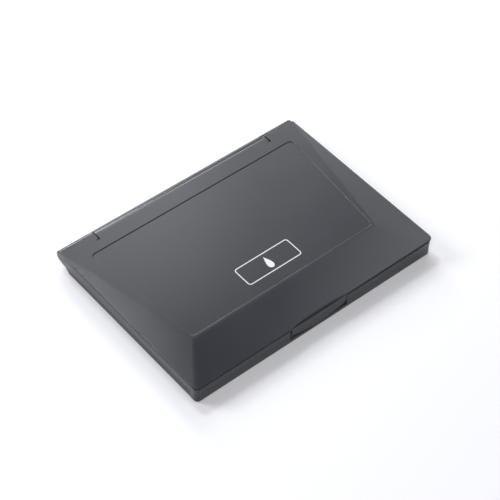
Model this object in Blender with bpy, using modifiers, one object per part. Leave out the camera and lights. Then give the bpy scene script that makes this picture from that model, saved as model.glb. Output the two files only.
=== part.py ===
"""Large office ink pad: a low hinged plastic case around a drop-in pad unit.

The case lies flat. +X runs along its length, +Y points to the hinge and +Z up.
The origin is on the table, under the middle of the closed case.
"""
import math

import bmesh
import bpy
from mathutils import Matrix, Vector

MM = 0.001

# Outer size of the closed case
CASE_LENGTH = 228 * MM
CASE_DEPTH = 170.2 * MM
CASE_HEIGHT = 18.7 * MM
HALF_LENGTH = CASE_LENGTH / 2
FRONT_Y = -CASE_DEPTH / 2

# Hinge: the lid turns about an axis along X inside the rounded back edge
NOSE_RADIUS = 5.3 * MM
HINGE_Y = CASE_DEPTH / 2 - NOSE_RADIUS
HINGE_Z = 12.4 * MM
HINGE_GAP = 0.45 * MM
SLOT_INNER_X = 82.2 * MM
SLOT_OUTER_X = 85.3 * MM
SLOT_FRONT_Y = 71.7 * MM
PIN_RADIUS = 1.5 * MM
PIN_BORE_RADIUS = 1.6 * MM
PIN_INNER_X = 76.6 * MM
PIN_OUTER_X = 92.0 * MM
PIN_SIDES = 24

# Base case
BASE_SIDE_X = HALF_LENGTH - 0.5 * MM
BASE_FRONT_Y = FRONT_Y + 0.5 * MM
RIM_Z = 15.8 * MM
BASE_CORNER = 4.0 * MM
CAVITY_SIDE_X = 111.2 * MM
CAVITY_FRONT_Y = -79.6 * MM
CAVITY_BACK_Y = 72.0 * MM
BACK_WALL_Y = 73.9 * MM
EAR_INNER_X = 80.0 * MM
EAR_TOP_Z = 17.1 * MM
EAR_PAD_FRONT_Y = 73.3 * MM
EAR_PAD_TOP_Z = 17.7 * MM
POCKET_FRONT_Y = -82.6 * MM
POCKET_FLOOR_Z = 4.5 * MM
SCOOP_HALF = 27.5 * MM
SCOOP_FLOOR_Z = 3.4 * MM
SCOOP_WALL_Z = 9.5 * MM
SCOOP_WALL_Y = -81.9 * MM
SCOOP_REACH = 2.7 * MM
STEP_SIDE_X = BASE_SIDE_X - 0.7 * MM
STEP_FRONT_Y = -78.0 * MM
STEP_FRONT_Z = 8.7 * MM
STEP_BACK_Z = 6.1 * MM

# Lid
LID_UNDER_Z = 16.1 * MM
LID_EDGE_Z = 16.9 * MM
LID_BACK_Y = 78.6 * MM
TOP_FRONT_Y = -49.0 * MM
TOP_FRONT_HALF = 88.0 * MM
LID_CORNER = 4.2 * MM
PLATE = 1.7 * MM
PANEL_DEPTH = 0.5 * MM
PANEL_BACK_Y = 62.2 * MM
PANEL_FRONT_Y = -46.3 * MM
PANEL_BACK_HALF = 98.2 * MM
PANEL_FRONT_HALF = 86.5 * MM
PANEL_CORNER = 3.5 * MM
RIB_OUTER_X = 110.4 * MM
RIB_FRONT_Y = -79.0 * MM
RIB_BACK_Y = 71.0 * MM
RIB_BOTTOM_Z = 14.0 * MM
RIB_WIDTH = 1.2 * MM
BOSS_INNER_X = 75.5 * MM
ROLL_START_Y = 76.6 * MM
TAB_HALF = 26.3 * MM
TAB_MIDDLE_Z = 4.9 * MM
TAB_END_Z = 9.5 * MM
TAB_TOP_Z = 16.4 * MM
TAB_FRONT_Y = FRONT_Y + 0.02 * MM
TAB_THICKNESS = 1.2 * MM
# Rows of pockets under the lid in mm: front, back, half length
POCKET_ROWS = ((-44, -8.5, 80), (-7.5, 28.5, 88), (29.5, 66, 96))
POCKETS_PER_ROW = 5
POCKET_RIB = 1.0

# Pad unit, centred a little in front of the case's middle
PAD_Y = -3.8 * MM
PAN_HALF_X = 109.6 * MM
PAN_HALF_Y = 75.0 * MM
PAN_WALL = 1.0 * MM
FRAME_HALF_X = 110.7 * MM
FRAME_HALF_Y = 75.4 * MM
FRAME_WIDTH = 4.5 * MM
CLOTH_HALF_X = FRAME_HALF_X - FRAME_WIDTH - 0.7 * MM
CLOTH_HALF_Y = FRAME_HALF_Y - FRAME_WIDTH - 0.7 * MM
CLOTH_THICKNESS = 0.6 * MM
PAD_CORNER = 3.0 * MM
SLAB_EDGE = 0.3 * MM

# Slabs in the pan: half length, half depth, bottom, top, corner radius
BOARD = (106.6 * MM, 72.2 * MM, 3.6 * MM, 5.1 * MM, 2.0 * MM)
FELT = (107.6 * MM, 73.2 * MM, 5.4 * MM, 9.6 * MM, 2.5 * MM)
FOAM = (104.6 * MM, 69.3 * MM, 9.9 * MM, 13.6 * MM, 2.5 * MM)

# Level outlines, each (height, inset) in mm, from the bottom up
BASE_LEVELS = ((0.0, 1.3), (0.25, 0.75), (0.9, 0.45), (8.0, 0.2),
               (14.2, 0.0), (14.4, 0.2), (14.45, 0.8), (19.0, 0.8))
CAVITY_LEVELS = ((2.0, 2.4), (2.5, 1.2), (3.4, 0.4), (4.6, 0.0), (25.0, 0.0))
PAN_LEVELS = ((2.3, 2.2), (2.8, 1.1), (3.7, 0.35), (4.9, 0.0), (11.5, 0.0))
CLOTH_LEVELS = ((11.2, -2.2), (11.2, 0.0), (13.4, 0.0), (14.1, 0.35), (14.45, 1.2), (14.6, 5.0))
FRAME_LEVELS = ((11.9, 0.2), (12.1, 0.0), (13.3, 0.0), (13.7, 0.4))
OPENING_LEVELS = ((10.0, 0.0), (13.2, 0.0), (13.7, -0.6), (20.0, -6.9))

# Reach of the cutters past the body
BELOW_Z = -5.0 * MM
ABOVE_Z = 25.0 * MM
BEHIND_Y = 95.0 * MM
BEFORE_Y = -92.0 * MM
BESIDE = 5.0 * MM

FINE = 1e-5
OBJECT_NAME = "ink_pad"


# ---------------------------------------------------------------- scene and helpers

def clear_scene():
    for item in list(bpy.data.objects):
        bpy.data.objects.remove(item, do_unlink=True)


def new_collection(name):
    collection = bpy.data.collections.new(name)
    bpy.context.scene.collection.children.link(collection)
    return collection


def plastic(name, colour, roughness, metallic=0.0):
    material = bpy.data.materials.new(name)
    material.use_nodes = True
    shader = material.node_tree.nodes["Principled BSDF"]
    shader.inputs["Base Color"].default_value = (*colour, 1.0)
    shader.inputs["Roughness"].default_value = roughness
    shader.inputs["Metallic"].default_value = metallic
    return material


def add_object(name, mesh, collection):
    item = bpy.data.objects.new(name, mesh)
    collection.objects.link(item)
    return item


def mesh_from(name, build):
    """Make a mesh by running build on an empty bmesh."""
    mesh = bpy.data.meshes.new(name)
    bm = bmesh.new()
    build(bm)
    bmesh.ops.recalc_face_normals(bm, faces=bm.faces)
    bm.to_mesh(mesh)
    bm.free()
    return mesh


def add_box(bm, low, high):
    low, high = Vector(low), Vector(high)
    size = high - low
    place = Matrix.Translation((low + high) / 2) @ Matrix.Diagonal((*size, 1.0))
    bmesh.ops.create_cube(bm, size=1.0, matrix=place)


def add_rod(bm, radius, start_x, end_x, sides=PIN_SIDES, y=HINGE_Y, z=HINGE_Z):
    """Add a solid cylinder along X."""
    middle = Vector(((start_x + end_x) / 2, y, z))
    place = Matrix.Translation(middle) @ Matrix.Rotation(math.pi / 2, 4, "Y")
    bmesh.ops.create_cone(bm, cap_ends=True, segments=sides, radius1=radius, radius2=radius,
                          depth=abs(end_x - start_x), matrix=place)


def arc(centre, radius, start, end, steps):
    """Points on an arc, angles in degrees."""
    points = []
    for i in range(steps + 1):
        angle = math.radians(start + (end - start) * i / steps)
        points.append((centre[0] + radius * math.cos(angle), centre[1] + radius * math.sin(angle)))
    return points


def rounded_rectangle(half_x, front_y, back_y, front_radius, back_radius, steps=6):
    corners = (
        ((-half_x + front_radius, front_y + front_radius), front_radius, 180),
        ((half_x - front_radius, front_y + front_radius), front_radius, 270),
        ((half_x - back_radius, back_y - back_radius), back_radius, 0),
        ((-half_x + back_radius, back_y - back_radius), back_radius, 90),
    )
    points = []
    for centre, radius, start in corners:
        points += arc(centre, radius, start, start + 90, steps)
    return points


def extruded(name, outline, start, end, axis="Z"):
    """Extrude a flat outline. Along Z it is (x, y), along X it is (y, z) and along Y it is (x, z)."""
    curve = bpy.data.curves.new(name, "CURVE")
    curve.dimensions = "2D"
    curve.fill_mode = "BOTH"
    curve.extrude = abs(end - start) / 2
    spline = curve.splines.new("POLY")
    spline.points.add(len(outline) - 1)
    for point, (u, v) in zip(spline.points, outline):
        point.co = (u, v, 0.0, 1.0)
    spline.use_cyclic_u = True
    holder = bpy.data.objects.new(name + "_curve", curve)
    bpy.context.scene.collection.objects.link(holder)
    bpy.context.view_layer.update()
    mesh = bpy.data.meshes.new_from_object(holder.evaluated_get(bpy.context.evaluated_depsgraph_get()))
    bpy.data.objects.remove(holder, do_unlink=True)
    mesh.name = name
    middle = (start + end) / 2
    turns = {
        "X": Matrix(((0, 0, 1, middle), (1, 0, 0, 0), (0, 1, 0, 0), (0, 0, 0, 1))),
        "Y": Matrix(((1, 0, 0, 0), (0, 0, -1, middle), (0, 1, 0, 0), (0, 0, 0, 1))),
        "Z": Matrix.Translation((0, 0, middle)),
    }
    bm = bmesh.new()
    bm.from_mesh(mesh)
    bmesh.ops.remove_doubles(bm, verts=bm.verts, dist=FINE)
    bmesh.ops.transform(bm, matrix=turns[axis], verts=bm.verts)
    bmesh.ops.recalc_face_normals(bm, faces=bm.faces)
    bm.to_mesh(mesh)
    bm.free()
    return mesh


def loft(name, rings, close_bottom=True, close_top=True):
    """Join level rings, each (z, points), from the bottom up into one body."""
    def build(bm):
        loops = []
        for z, points in rings:
            loops.append([bm.verts.new((x, y, z)) for x, y in points])
        count = len(loops[0])
        for lower, upper in zip(loops, loops[1:]):
            for i in range(count):
                j = (i + 1) % count
                bm.faces.new((lower[i], lower[j], upper[j], upper[i]))
        if close_bottom:
            bm.faces.new(reversed(loops[0]))
        if close_top:
            bm.faces.new(loops[-1])
    return mesh_from(name, build)


def boolean(target, cutter, operation="DIFFERENCE"):
    modifier = target.modifiers.new(cutter.name, "BOOLEAN")
    modifier.operation = operation
    modifier.solver = "EXACT"
    modifier.object = cutter


def add_cutter(name, mesh, collection):
    cutter = add_object(name, mesh, collection)
    cutter.hide_render = True
    cutter.display_type = "WIRE"
    return cutter


def finish_piece(item, material):
    item.data.materials.clear()
    item.data.materials.append(material)
    item.data.shade_smooth()
    item.data.set_sharp_from_angle(angle=math.radians(30))


# ---------------------------------------------------------------- base case

def base_profile():
    """Side outline (y, z) of the case: flat floor, undercut back, round nose, level rim."""
    before = FRONT_Y - 5 * MM
    nose_end = math.degrees(math.pi - math.asin((RIM_Z - HINGE_Z) / NOSE_RADIUS))
    points = [(before, -1 * MM), (66 * MM, -1 * MM), (66 * MM, 0.0)]
    points += [(69.5 * MM, 0.45 * MM), (72 * MM, 1.6 * MM), (78.9 * MM, 6.4 * MM)]
    points += arc((HINGE_Y, HINGE_Z), NOSE_RADIUS, -72, nose_end, 20)
    points.append((before, RIM_Z))
    return points


def base_plan():
    """Drafted wall with rounded lower and upper edges, as a stack of level outlines."""
    rings = []
    for z, inset in BASE_LEVELS:
        inset *= MM
        ring = rounded_rectangle(BASE_SIDE_X - inset, BASE_FRONT_Y + inset, CASE_DEPTH / 2 + 5 * MM,
                                 BASE_CORNER - inset, 1 * MM)
        rings.append((z * MM, ring))
    return loft("base_plan", rings)


def cavity_mesh():
    """Room for the pad unit, with a rounded lower edge."""
    rings = []
    for z, inset in CAVITY_LEVELS:
        inset *= MM
        ring = rounded_rectangle(CAVITY_SIDE_X - inset, CAVITY_FRONT_Y + inset, CAVITY_BACK_Y - inset,
                                 3.5 * MM, 3.5 * MM, 4)
        rings.append((z * MM, ring))
    return loft("cavity", rings)


def scoop_mesh():
    """Finger scoop in the front wall: a curved ramp under the lid's tab."""
    profile = [(BEFORE_Y, SCOOP_FLOOR_Z)]
    steps = 10
    for i in range(steps + 1):
        turn = math.pi / 2 * i / steps
        y = SCOOP_WALL_Y - SCOOP_REACH * (1 - math.sin(turn))
        profile.append((y, SCOOP_WALL_Z - (SCOOP_WALL_Z - SCOOP_FLOOR_Z) * math.cos(turn)))
    profile += [(SCOOP_WALL_Y, ABOVE_Z), (BEFORE_Y, ABOVE_Z)]
    return extruded("finger_scoop", profile, -SCOOP_HALF, SCOOP_HALF, "X")


def front_pockets(bm):
    """Shallow rooms beside the scoop, which thin the front wall."""
    for side in (-1, 1):
        near, far = sorted((side * (SCOOP_HALF + 3.5 * MM), side * (CAVITY_SIDE_X - 1.5 * MM)))
        add_box(bm, (near, POCKET_FRONT_Y, POCKET_FLOOR_Z), (far, CAVITY_FRONT_Y + 4 * MM, ABOVE_Z))


def hinge_bay(bm):
    """Clears the case behind the pad, where the lid's barrel turns."""
    bay = SLOT_INNER_X + 0.4 * MM
    add_box(bm, (-bay, BACK_WALL_Y, BELOW_Z), (bay, BEHIND_Y, ABOVE_Z))


def ear_tops(bm):
    """Levels the ears that stand in the lid's slots."""
    for side in (-1, 1):
        near, far = sorted((side * EAR_INNER_X, side * (SLOT_OUTER_X + 0.3 * MM)))
        add_box(bm, (near, 70 * MM, EAR_TOP_Z), (far, BEHIND_Y, ABOVE_Z))


def ear_pads(bm):
    """Blocks that fill the lid's slots almost up to its top; they stay inside the slot's swing."""
    for side in (-1, 1):
        near, far = sorted((side * (SLOT_INNER_X + 0.45 * MM), side * (SLOT_OUTER_X - 0.3 * MM)))
        add_box(bm, (near, EAR_PAD_FRONT_Y, LID_UNDER_Z - 1.1 * MM), (far, HINGE_Y - 0.2 * MM, EAR_PAD_TOP_Z))


def base_pin_bores(bm):
    for side in (-1, 1):
        near, far = sorted((side * EAR_INNER_X, side * (PIN_OUTER_X + 0.3 * MM)))
        add_rod(bm, PIN_BORE_RADIUS, near, far)


def side_step(name, side):
    """Cuts the lower part of an end wall back, under a line that falls towards the back."""
    outline = [(STEP_FRONT_Y, BELOW_Z), (BEHIND_Y, BELOW_Z), (BEHIND_Y, STEP_BACK_Z - 0.4 * MM),
               (STEP_FRONT_Y + 2 * MM, STEP_FRONT_Z), (STEP_FRONT_Y, STEP_FRONT_Z - 2 * MM)]
    near, far = sorted((side * STEP_SIDE_X, side * (HALF_LENGTH + BESIDE)))
    return extruded(name, outline, near, far, "X")


def make_base(parts, cutters):
    body = extruded("base_case", base_profile(), -HALF_LENGTH - MM, HALF_LENGTH + MM, "X")
    base = add_object("base_case", body, parts)
    boolean(base, add_cutter("base_plan", base_plan(), cutters), "INTERSECT")
    steps = (
        ("cavity", cavity_mesh(), "DIFFERENCE"),
        ("front_pockets", mesh_from("front_pockets", front_pockets), "DIFFERENCE"),
        ("hinge_bay", mesh_from("hinge_bay", hinge_bay), "DIFFERENCE"),
        ("ear_tops", mesh_from("ear_tops", ear_tops), "DIFFERENCE"),
        ("ear_pads", mesh_from("ear_pads", ear_pads), "UNION"),
        ("finger_scoop", scoop_mesh(), "DIFFERENCE"),
        ("side_step_left", side_step("side_step_left", -1), "DIFFERENCE"),
        ("side_step_right", side_step("side_step_right", 1), "DIFFERENCE"),
        ("base_pin_bores", mesh_from("base_pin_bores", base_pin_bores), "DIFFERENCE"),
    )
    for name, mesh, operation in steps:
        boolean(base, add_cutter(name, mesh, cutters), operation)
    return base


# ---------------------------------------------------------------- lid

def lid_block():
    """Plate with a flat trapezoid top and facets to both sides and the front."""
    edge = rounded_rectangle(HALF_LENGTH, FRONT_Y, LID_BACK_Y, LID_CORNER, 0.8 * MM)

    def build(bm):
        for x, y in edge:
            bm.verts.new((x, y, LID_UNDER_Z))
            share = (y - FRONT_Y) / (LID_BACK_Y - FRONT_Y)
            bm.verts.new((x, y, LID_EDGE_Z + (CASE_HEIGHT - LID_EDGE_Z) * share))
        for side in (-1, 1):
            bm.verts.new((side * TOP_FRONT_HALF, TOP_FRONT_Y, CASE_HEIGHT))
            bm.verts.new((side * (HALF_LENGTH - 0.8 * MM), LID_BACK_Y, CASE_HEIGHT))
        hull = bmesh.ops.convex_hull(bm, input=bm.verts)
        spare = [v for v in hull["geom_interior"] if isinstance(v, bmesh.types.BMVert)]
        bmesh.ops.delete(bm, geom=spare, context="VERTS")
        bmesh.ops.dissolve_limit(bm, angle_limit=math.radians(0.2), verts=bm.verts, edges=bm.edges)
    return mesh_from("lid_shell", build)


def barrel_profile():
    """Outline (y, z) of the rolled back edge that turns about the hinge axis."""
    centre = (HINGE_Y, HINGE_Z)
    inside_y = 70 * MM
    points = [(inside_y, CASE_HEIGHT), (ROLL_START_Y, CASE_HEIGHT)]
    points += [(78.4 * MM, CASE_HEIGHT - 0.25 * MM), (80.0 * MM, CASE_HEIGHT - 0.75 * MM)]
    points += arc(centre, NOSE_RADIUS, 70, -90, 18)
    points += arc(centre, NOSE_RADIUS - PLATE, -90, 70, 10)
    points += [(78.4 * MM, LID_UNDER_Z), (inside_y, LID_UNDER_Z)]
    return points


def corner_centre(x, y, start, end):
    """Centre of the panel's corner arc that touches both edges meeting at (x, y)."""
    middle = math.radians((start + end) / 2)
    reach = PANEL_CORNER / math.cos(math.radians((end - start) / 2))
    return (x - reach * math.cos(middle), y - reach * math.sin(middle))


def label_panel():
    """Recess outline: a trapezoid, narrower at the front, with round corners."""
    corners = ((-PANEL_BACK_HALF, PANEL_BACK_Y), (-PANEL_FRONT_HALF, PANEL_FRONT_Y),
               (PANEL_FRONT_HALF, PANEL_FRONT_Y), (PANEL_BACK_HALF, PANEL_BACK_Y))
    lean = math.degrees(math.atan2(PANEL_BACK_HALF - PANEL_FRONT_HALF, PANEL_BACK_Y - PANEL_FRONT_Y))
    turns = ((90, 180 + lean), (180 + lean, 270), (270, 360 - lean), (-lean, 90))
    points = []
    for (x, y), (start, end) in zip(corners, turns):
        points += arc(corner_centre(x, y, start, end), PANEL_CORNER, start, end, 5)
    return points


def pull_tab():
    """Flat tab that hangs from the front edge; its lower edge is deepest in the middle."""
    steps = 28
    curve = 2.2
    outline = [(-TAB_HALF, TAB_TOP_Z)]
    for i in range(steps + 1):
        share = -1 + 2 * i / steps
        outline.append((TAB_HALF * share, TAB_MIDDLE_Z + (TAB_END_Z - TAB_MIDDLE_Z) * abs(share) ** curve))
    outline.append((TAB_HALF, TAB_TOP_Z))
    return extruded("pull_tab", outline, TAB_FRONT_Y, TAB_FRONT_Y + TAB_THICKNESS, "Y")


def seal_rib(name, inset, bottom, top):
    """Rib outline under the lid, inset by the given amount."""
    radius = 3.5 * MM - inset
    outline = rounded_rectangle(RIB_OUTER_X - inset, RIB_FRONT_Y + inset, RIB_BACK_Y - inset,
                                radius, radius, 4)
    return extruded(name, outline, bottom, top)


def lid_bosses(bm):
    """Solid ends of the barrel, which carry the pins."""
    for side in (-1, 1):
        near, far = sorted((side * BOSS_INNER_X, side * (SLOT_INNER_X - 0.01 * MM)))
        add_rod(bm, NOSE_RADIUS - 0.6 * MM, near, far, 32)


def corner_reliefs(bm):
    """Hollows over the case's round back corners."""
    for side in (-1, 1):
        near, far = sorted((side * (SLOT_INNER_X + 0.01 * MM), side * (HALF_LENGTH + BESIDE)))
        add_rod(bm, NOSE_RADIUS + HINGE_GAP, near, far, 64)


def lid_slots(bm):
    """Slots for the case's two ears."""
    for side in (-1, 1):
        near, far = sorted((side * SLOT_INNER_X, side * SLOT_OUTER_X))
        add_box(bm, (near, SLOT_FRONT_Y, BELOW_Z), (far, BEHIND_Y, ABOVE_Z))


def lid_pin_bores(bm):
    for side in (-1, 1):
        near, far = sorted((side * (PIN_INNER_X - 0.3 * MM), side * (SLOT_OUTER_X + BESIDE)))
        add_rod(bm, PIN_BORE_RADIUS, near, far)


def lid_pockets(bm):
    """Rows of shallow pockets that leave thin ribs under the plate."""
    for front, back, half in POCKET_ROWS:
        pitch = 2 * half / POCKETS_PER_ROW
        for i in range(POCKETS_PER_ROW):
            left = -half + i * pitch
            right = left + pitch - POCKET_RIB
            add_box(bm, (left * MM, front * MM, RIB_BOTTOM_Z), (right * MM, back * MM, CASE_HEIGHT - PLATE))


def make_lid(parts, cutters):
    lid = add_object("lid_shell", lid_block(), parts)
    soft_edge = lid.modifiers.new("edge_rounding", "BEVEL")
    soft_edge.width = 0.35 * MM
    soft_edge.segments = 2
    soft_edge.limit_method = "ANGLE"
    soft_edge.angle_limit = math.radians(25)

    barrel = extruded("lid_barrel", barrel_profile(), -SLOT_INNER_X, SLOT_INNER_X, "X")
    panel = extruded("label_panel", label_panel(), CASE_HEIGHT - PANEL_DEPTH, ABOVE_Z)
    rib = seal_rib("seal_rib", 0.0, RIB_BOTTOM_Z, LID_UNDER_Z + 0.4 * MM)
    rib_hole = seal_rib("seal_rib_hole", RIB_WIDTH, RIB_BOTTOM_Z - BESIDE, LID_UNDER_Z - 0.001 * MM)
    steps = (
        ("lid_barrel", barrel, "UNION"),
        ("pull_tab", pull_tab(), "UNION"),
        ("lid_bosses", mesh_from("lid_bosses", lid_bosses), "UNION"),
        ("corner_reliefs", mesh_from("corner_reliefs", corner_reliefs), "DIFFERENCE"),
        ("lid_slots", mesh_from("lid_slots", lid_slots), "DIFFERENCE"),
        ("lid_pin_bores", mesh_from("lid_pin_bores", lid_pin_bores), "DIFFERENCE"),
        ("label_panel", panel, "DIFFERENCE"),
        ("seal_rib", rib, "UNION"),
        ("seal_rib_hole", rib_hole, "DIFFERENCE"),
        ("lid_pockets", mesh_from("lid_pockets", lid_pockets), "DIFFERENCE"),
    )
    for name, mesh, operation in steps:
        boolean(lid, add_cutter(name, mesh, cutters), operation)
    return lid


# ---------------------------------------------------------------- hinge pins

def make_pins(parts):
    pins = []
    for side, name in ((-1, "hinge_pin_left"), (1, "hinge_pin_right")):
        near, far = sorted((side * PIN_INNER_X, side * PIN_OUTER_X))
        pin_mesh = mesh_from(name, lambda bm: add_rod(bm, PIN_RADIUS, near, far))
        pins.append(add_object(name, pin_mesh, parts))
    return pins


# ---------------------------------------------------------------- pad unit

def pad_ring(half_x, half_y, radius, steps=5):
    return rounded_rectangle(half_x, PAD_Y - half_y, PAD_Y + half_y, radius, radius, steps)


def ring_stack(levels, half_x, half_y):
    """Rings for loft from (height, inset) pairs in mm."""
    rings = []
    for z, inset in levels:
        inset *= MM
        rings.append((z * MM, pad_ring(half_x - inset, half_y - inset, PAD_CORNER)))
    return rings


def slab(name, shape, parts):
    """Flat slab with softly rounded edges."""
    half_x, half_y, low, high, radius = shape
    rings = []
    for z, inset in ((low, SLAB_EDGE), (low + SLAB_EDGE, 0.0), (high - SLAB_EDGE, 0.0), (high, SLAB_EDGE)):
        rings.append((z, pad_ring(half_x - inset, half_y - inset, radius)))
    return add_object(name, loft(name, rings), parts)


def thicken(item, name, thickness):
    wall = item.modifiers.new(name, "SOLIDIFY")
    wall.thickness = thickness
    wall.offset = -1.0
    wall.use_even_offset = True


def make_pan(parts):
    rings = ring_stack(PAN_LEVELS, PAN_HALF_X, PAN_HALF_Y)
    pan = add_object("pad_pan", loft("pad_pan", rings, close_bottom=True, close_top=False), parts)
    thicken(pan, "wall", PAN_WALL)
    return pan


def make_cloth(parts):
    """Cloth as a hat: a crowned top, a side going down and a brim under the frame."""
    rings = ring_stack(CLOTH_LEVELS, CLOTH_HALF_X, CLOTH_HALF_Y)
    cloth = add_object("ink_cloth", loft("ink_cloth", rings, close_bottom=False, close_top=True), parts)
    thicken(cloth, "cloth_thickness", CLOTH_THICKNESS)
    return cloth


def make_frame(parts, cutters):
    outer = ring_stack(FRAME_LEVELS, FRAME_HALF_X, FRAME_HALF_Y)
    frame = add_object("pad_frame", loft("pad_frame", outer), parts)
    opening = ring_stack(OPENING_LEVELS, FRAME_HALF_X - FRAME_WIDTH, FRAME_HALF_Y - FRAME_WIDTH)
    boolean(frame, add_cutter("frame_opening", loft("frame_opening", opening), cutters))
    return frame


def main():
    clear_scene()
    parts = new_collection(OBJECT_NAME)
    cutters = new_collection("cutters")
    case_plastic = plastic("case_plastic", (0.060, 0.062, 0.066), 0.42)
    pin_steel = plastic("pin_steel", (0.55, 0.55, 0.56), 0.3, 1.0)
    pan_plastic = plastic("pan_plastic", (0.03, 0.03, 0.032), 0.5)
    board_fibre = plastic("board_fibre", (0.32, 0.24, 0.15), 0.9)
    felt = plastic("felt", (0.05, 0.05, 0.06), 0.95)
    foam = plastic("foam", (0.04, 0.04, 0.05), 0.9)
    inked_cloth = plastic("inked_cloth", (0.012, 0.012, 0.018), 0.6)

    finish_piece(make_base(parts, cutters), case_plastic)
    finish_piece(make_lid(parts, cutters), case_plastic)
    for pin in make_pins(parts):
        finish_piece(pin, pin_steel)
    finish_piece(make_pan(parts), pan_plastic)
    finish_piece(slab("pad_board", BOARD, parts), board_fibre)
    finish_piece(slab("felt_core", FELT, parts), felt)
    finish_piece(slab("foam_layer", FOAM, parts), foam)
    finish_piece(make_cloth(parts), inked_cloth)
    finish_piece(make_frame(parts, cutters), pan_plastic)


main()
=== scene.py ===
"""Looks of a large office ink pad: finer case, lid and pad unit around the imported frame.

Shapes are worked out in millimetres, in the frame's axes: +X along the case, +Y to the
hinge, +Z up. Meshes are scaled to metres when they are made.
"""
import math

import bmesh
import bpy
from mathutils import Matrix, Vector, noise


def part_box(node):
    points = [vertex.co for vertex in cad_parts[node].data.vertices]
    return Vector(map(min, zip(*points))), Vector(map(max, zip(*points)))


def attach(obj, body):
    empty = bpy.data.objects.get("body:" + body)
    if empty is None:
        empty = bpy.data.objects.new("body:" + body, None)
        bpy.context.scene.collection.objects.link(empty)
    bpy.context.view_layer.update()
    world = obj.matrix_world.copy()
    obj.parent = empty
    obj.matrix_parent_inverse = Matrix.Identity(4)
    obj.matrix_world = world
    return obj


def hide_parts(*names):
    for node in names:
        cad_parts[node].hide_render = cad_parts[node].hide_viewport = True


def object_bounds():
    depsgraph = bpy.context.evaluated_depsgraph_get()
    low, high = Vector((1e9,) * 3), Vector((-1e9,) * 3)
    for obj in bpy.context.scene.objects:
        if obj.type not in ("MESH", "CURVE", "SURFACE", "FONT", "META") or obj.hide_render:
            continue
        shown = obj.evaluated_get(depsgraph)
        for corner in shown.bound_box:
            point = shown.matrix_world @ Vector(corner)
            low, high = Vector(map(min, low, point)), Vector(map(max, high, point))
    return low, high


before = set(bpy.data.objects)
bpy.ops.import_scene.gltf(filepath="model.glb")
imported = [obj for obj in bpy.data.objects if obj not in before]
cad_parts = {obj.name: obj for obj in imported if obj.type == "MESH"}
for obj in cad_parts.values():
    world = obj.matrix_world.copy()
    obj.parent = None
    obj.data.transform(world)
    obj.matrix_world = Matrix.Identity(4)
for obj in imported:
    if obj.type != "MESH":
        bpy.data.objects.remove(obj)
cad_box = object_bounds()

MM = 0.001
SHARP_ANGLE = 35.0

# ---------------------------------------------------------------- sizes in millimetres

# From the frame
HALF_X = cad_box[1].x / MM
FRONT_Y = cad_box[0].y / MM
BACK_Y = cad_box[1].y / MM
TOP_Z = cad_box[1].z / MM

# Hinge
NOSE_RADIUS = 5.3
HINGE_Y = BACK_Y - NOSE_RADIUS
HINGE_Z = 12.4
SLOT_X = (82.2, 85.3)
BORE_RADIUS = 1.6
LID_BORE_X = (76.3, 90.0)
BASE_BORE_X = (80.0, 92.3)

# Lid
EDGE_Z = TOP_Z - 1.8
UNDER_Z = 16.1
PLATE_BACK_Y = 78.6
ROLL_Y = 76.6
TOP_FRONT = (88.0, -49.0)
TOP_BACK_X = HALF_X - 0.8
TOP_CORNER = 2.2
LID_CORNER = 4.2
EDGE_ROUND = 0.45
RIM_SOFT = 0.15
SLOT_FRONT_Y = 71.7
RELIEF_RADIUS = NOSE_RADIUS + 0.45
BARREL_INNER = 3.6
BOSS_RADIUS = NOSE_RADIUS - 0.6
BOSS_X = (75.5, SLOT_X[0] + 0.5)
PANEL_BACK = (98.2, 62.2)
PANEL_FRONT = (86.5, -46.3)
PANEL_DEPTH = 0.5
PANEL_CORNER = 3.5

# Pull tab
TAB_HALF = 26.3
TAB_MIDDLE_Z = 4.9
TAB_END_Z = 9.5
TAB_ROLL = 2.2
TAB_THICK = 1.05
TAB_SOFT = 0.3

# Underside of the lid: its edge (half width, back), the seal rib (half width, front, back)
# and the shallow pockets (front, back, half width of each row)
UNDER_EDGE = (HALF_X - 1.1, 75.0)
RIB = (110.4, -79.0, 71.0)
RIB_Z = 14.0
RIB_WIDTH = 1.2
RIB_CORNER = 3.5
POCKET_ROWS = ((-44.0, -8.5, 80.0), (-7.5, 28.5, 88.0), (29.5, 66.0, 96.0))
POCKETS_PER_ROW = 5
POCKET_RIB = 1.0
POCKET_CORNER = 1.5
POCKET_LEVELS = ((12.0, 0.0), (TOP_Z - 2.0, 0.0), (TOP_Z - 1.7, 0.3))

# Case
BASE_X = HALF_X - 0.5
BASE_FRONT_Y = FRONT_Y + 0.5
RIM_Z = 15.8
BASE_CORNER = 4.0
FLOOR_ROUND = 1.3
STEP_IN = 0.7
STEP_START_Y = -79.0
STEP_FRONT_Z = 8.82
STEP_BACK_Z = 5.82
WALL_TOP_Z = 14.1
CAVITY = (111.2, -79.6, 72.0)
CAVITY_CORNER = 3.5
FRONT_POCKET_X = (31.0, 109.7)
FRONT_POCKET_Y = (-82.6, -75.0)
FRONT_POCKET_Z = 4.5
HINGE_BAY_X = SLOT_X[0] + 0.4
HINGE_BAY_Y = 73.9
EAR_START_X = 80.0
EAR_SOFT = 0.5
EAR_TOP_X = (80.0, SLOT_X[1] + 0.3)
EAR_TOP_Y = 70.0
EAR_TOP_Z = 17.1
EAR_PAD_X = (SLOT_X[0] + 0.45, SLOT_X[1] - 0.3)
EAR_PAD_Y = (73.3, 79.6)
EAR_PAD_Z = (15.0, 17.7)
SCOOP_HALF = 27.5
SCOOP_MIDDLE = (-84.6, 9.5)
SCOOP_REACH = (2.7, 6.1)
SCOOP_FLOOR_Z = 3.4
SCOOP_WALL_Y = -81.9

# Where cutters that run past the case end
PAST_FRONT, PAST_BACK, PAST_FLOOR, PAST_TOP = -92.0, 95.0, -5.0, 25.0

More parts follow.
